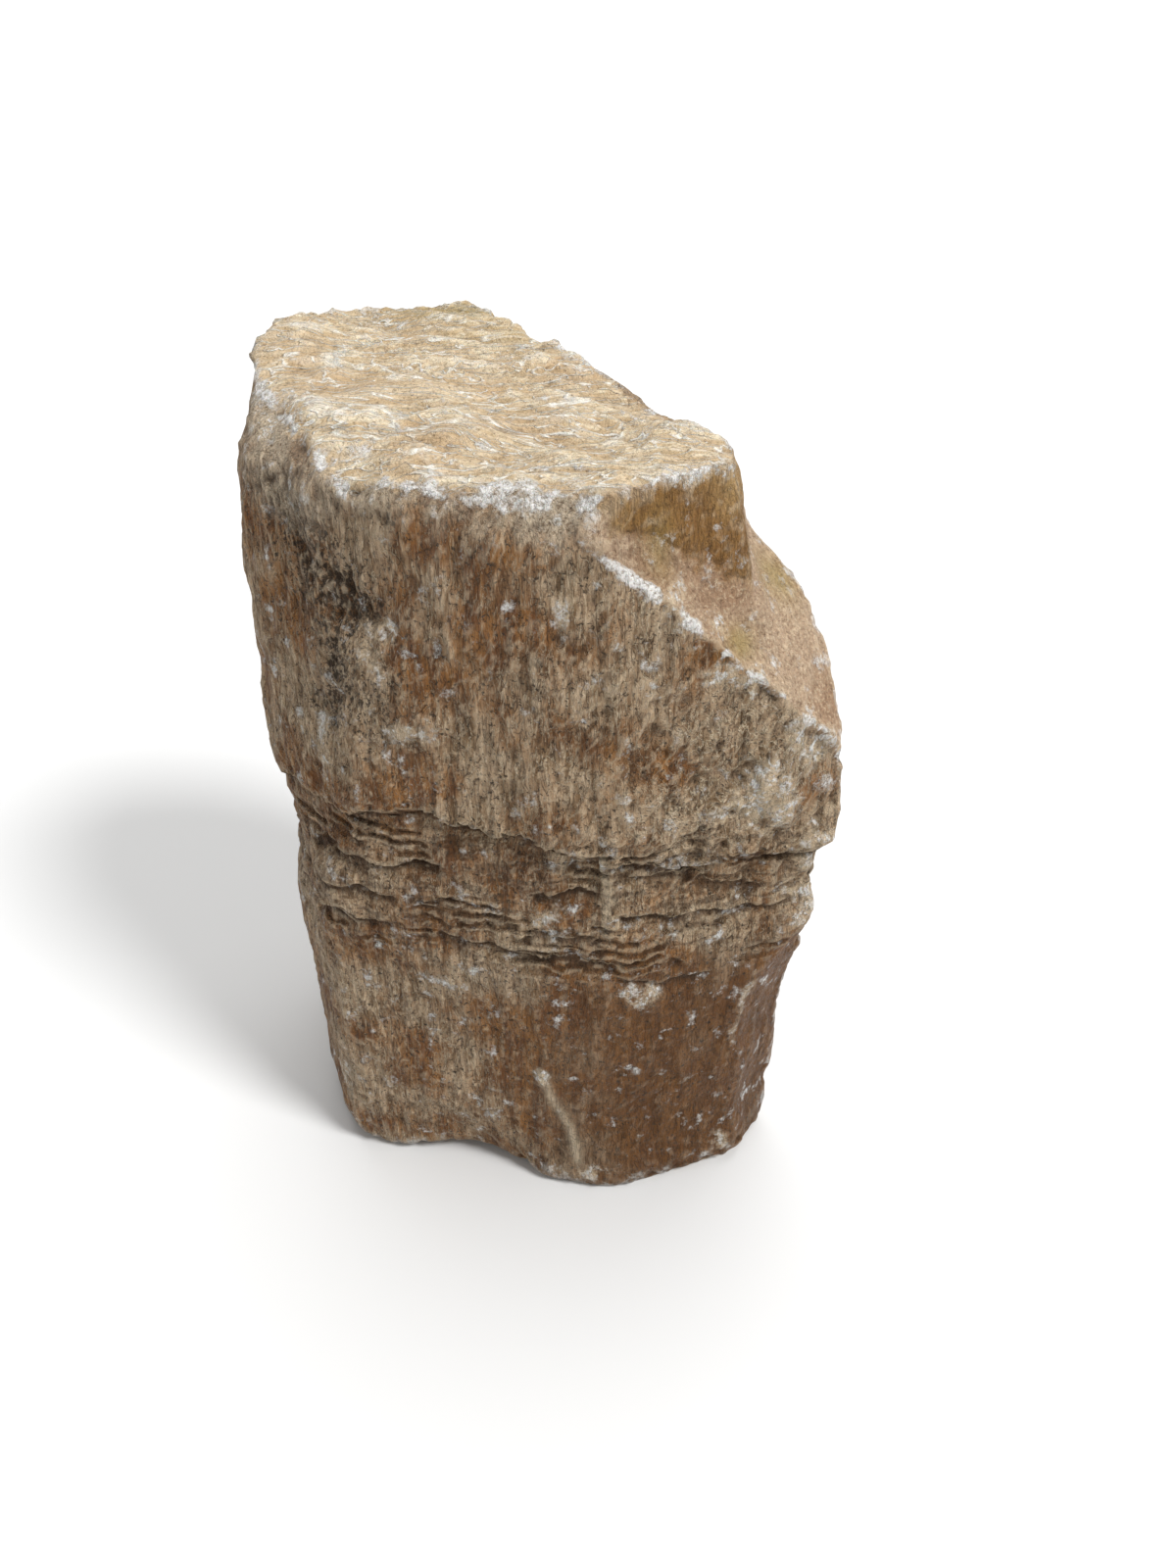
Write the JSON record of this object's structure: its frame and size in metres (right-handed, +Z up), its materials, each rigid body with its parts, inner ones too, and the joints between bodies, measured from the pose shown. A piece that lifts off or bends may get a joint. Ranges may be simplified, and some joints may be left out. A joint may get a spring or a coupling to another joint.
{
  "type": "honeycomb calcite specimen",
  "caption": "Rough upright block of banded fibrous calcite with a nearly level top, a ledged belt at mid height and a broken upper corner.",
  "frame": {"origin": "middle of the bounding box, on the surface the stone stands on", "axes": "+Z up along the stone's height, -Y towards the broad front face, +X towards the broken upper corner"},
  "size_m": [0.1696, 0.1484, 0.2568],
  "materials": {
    "calcite": "rough broken surface, amber brown with white bruised edges and a cream top"
  },
  "bodies": {
    "root": {"calcite_block": "calcite"}
  },
  "joints": []
}
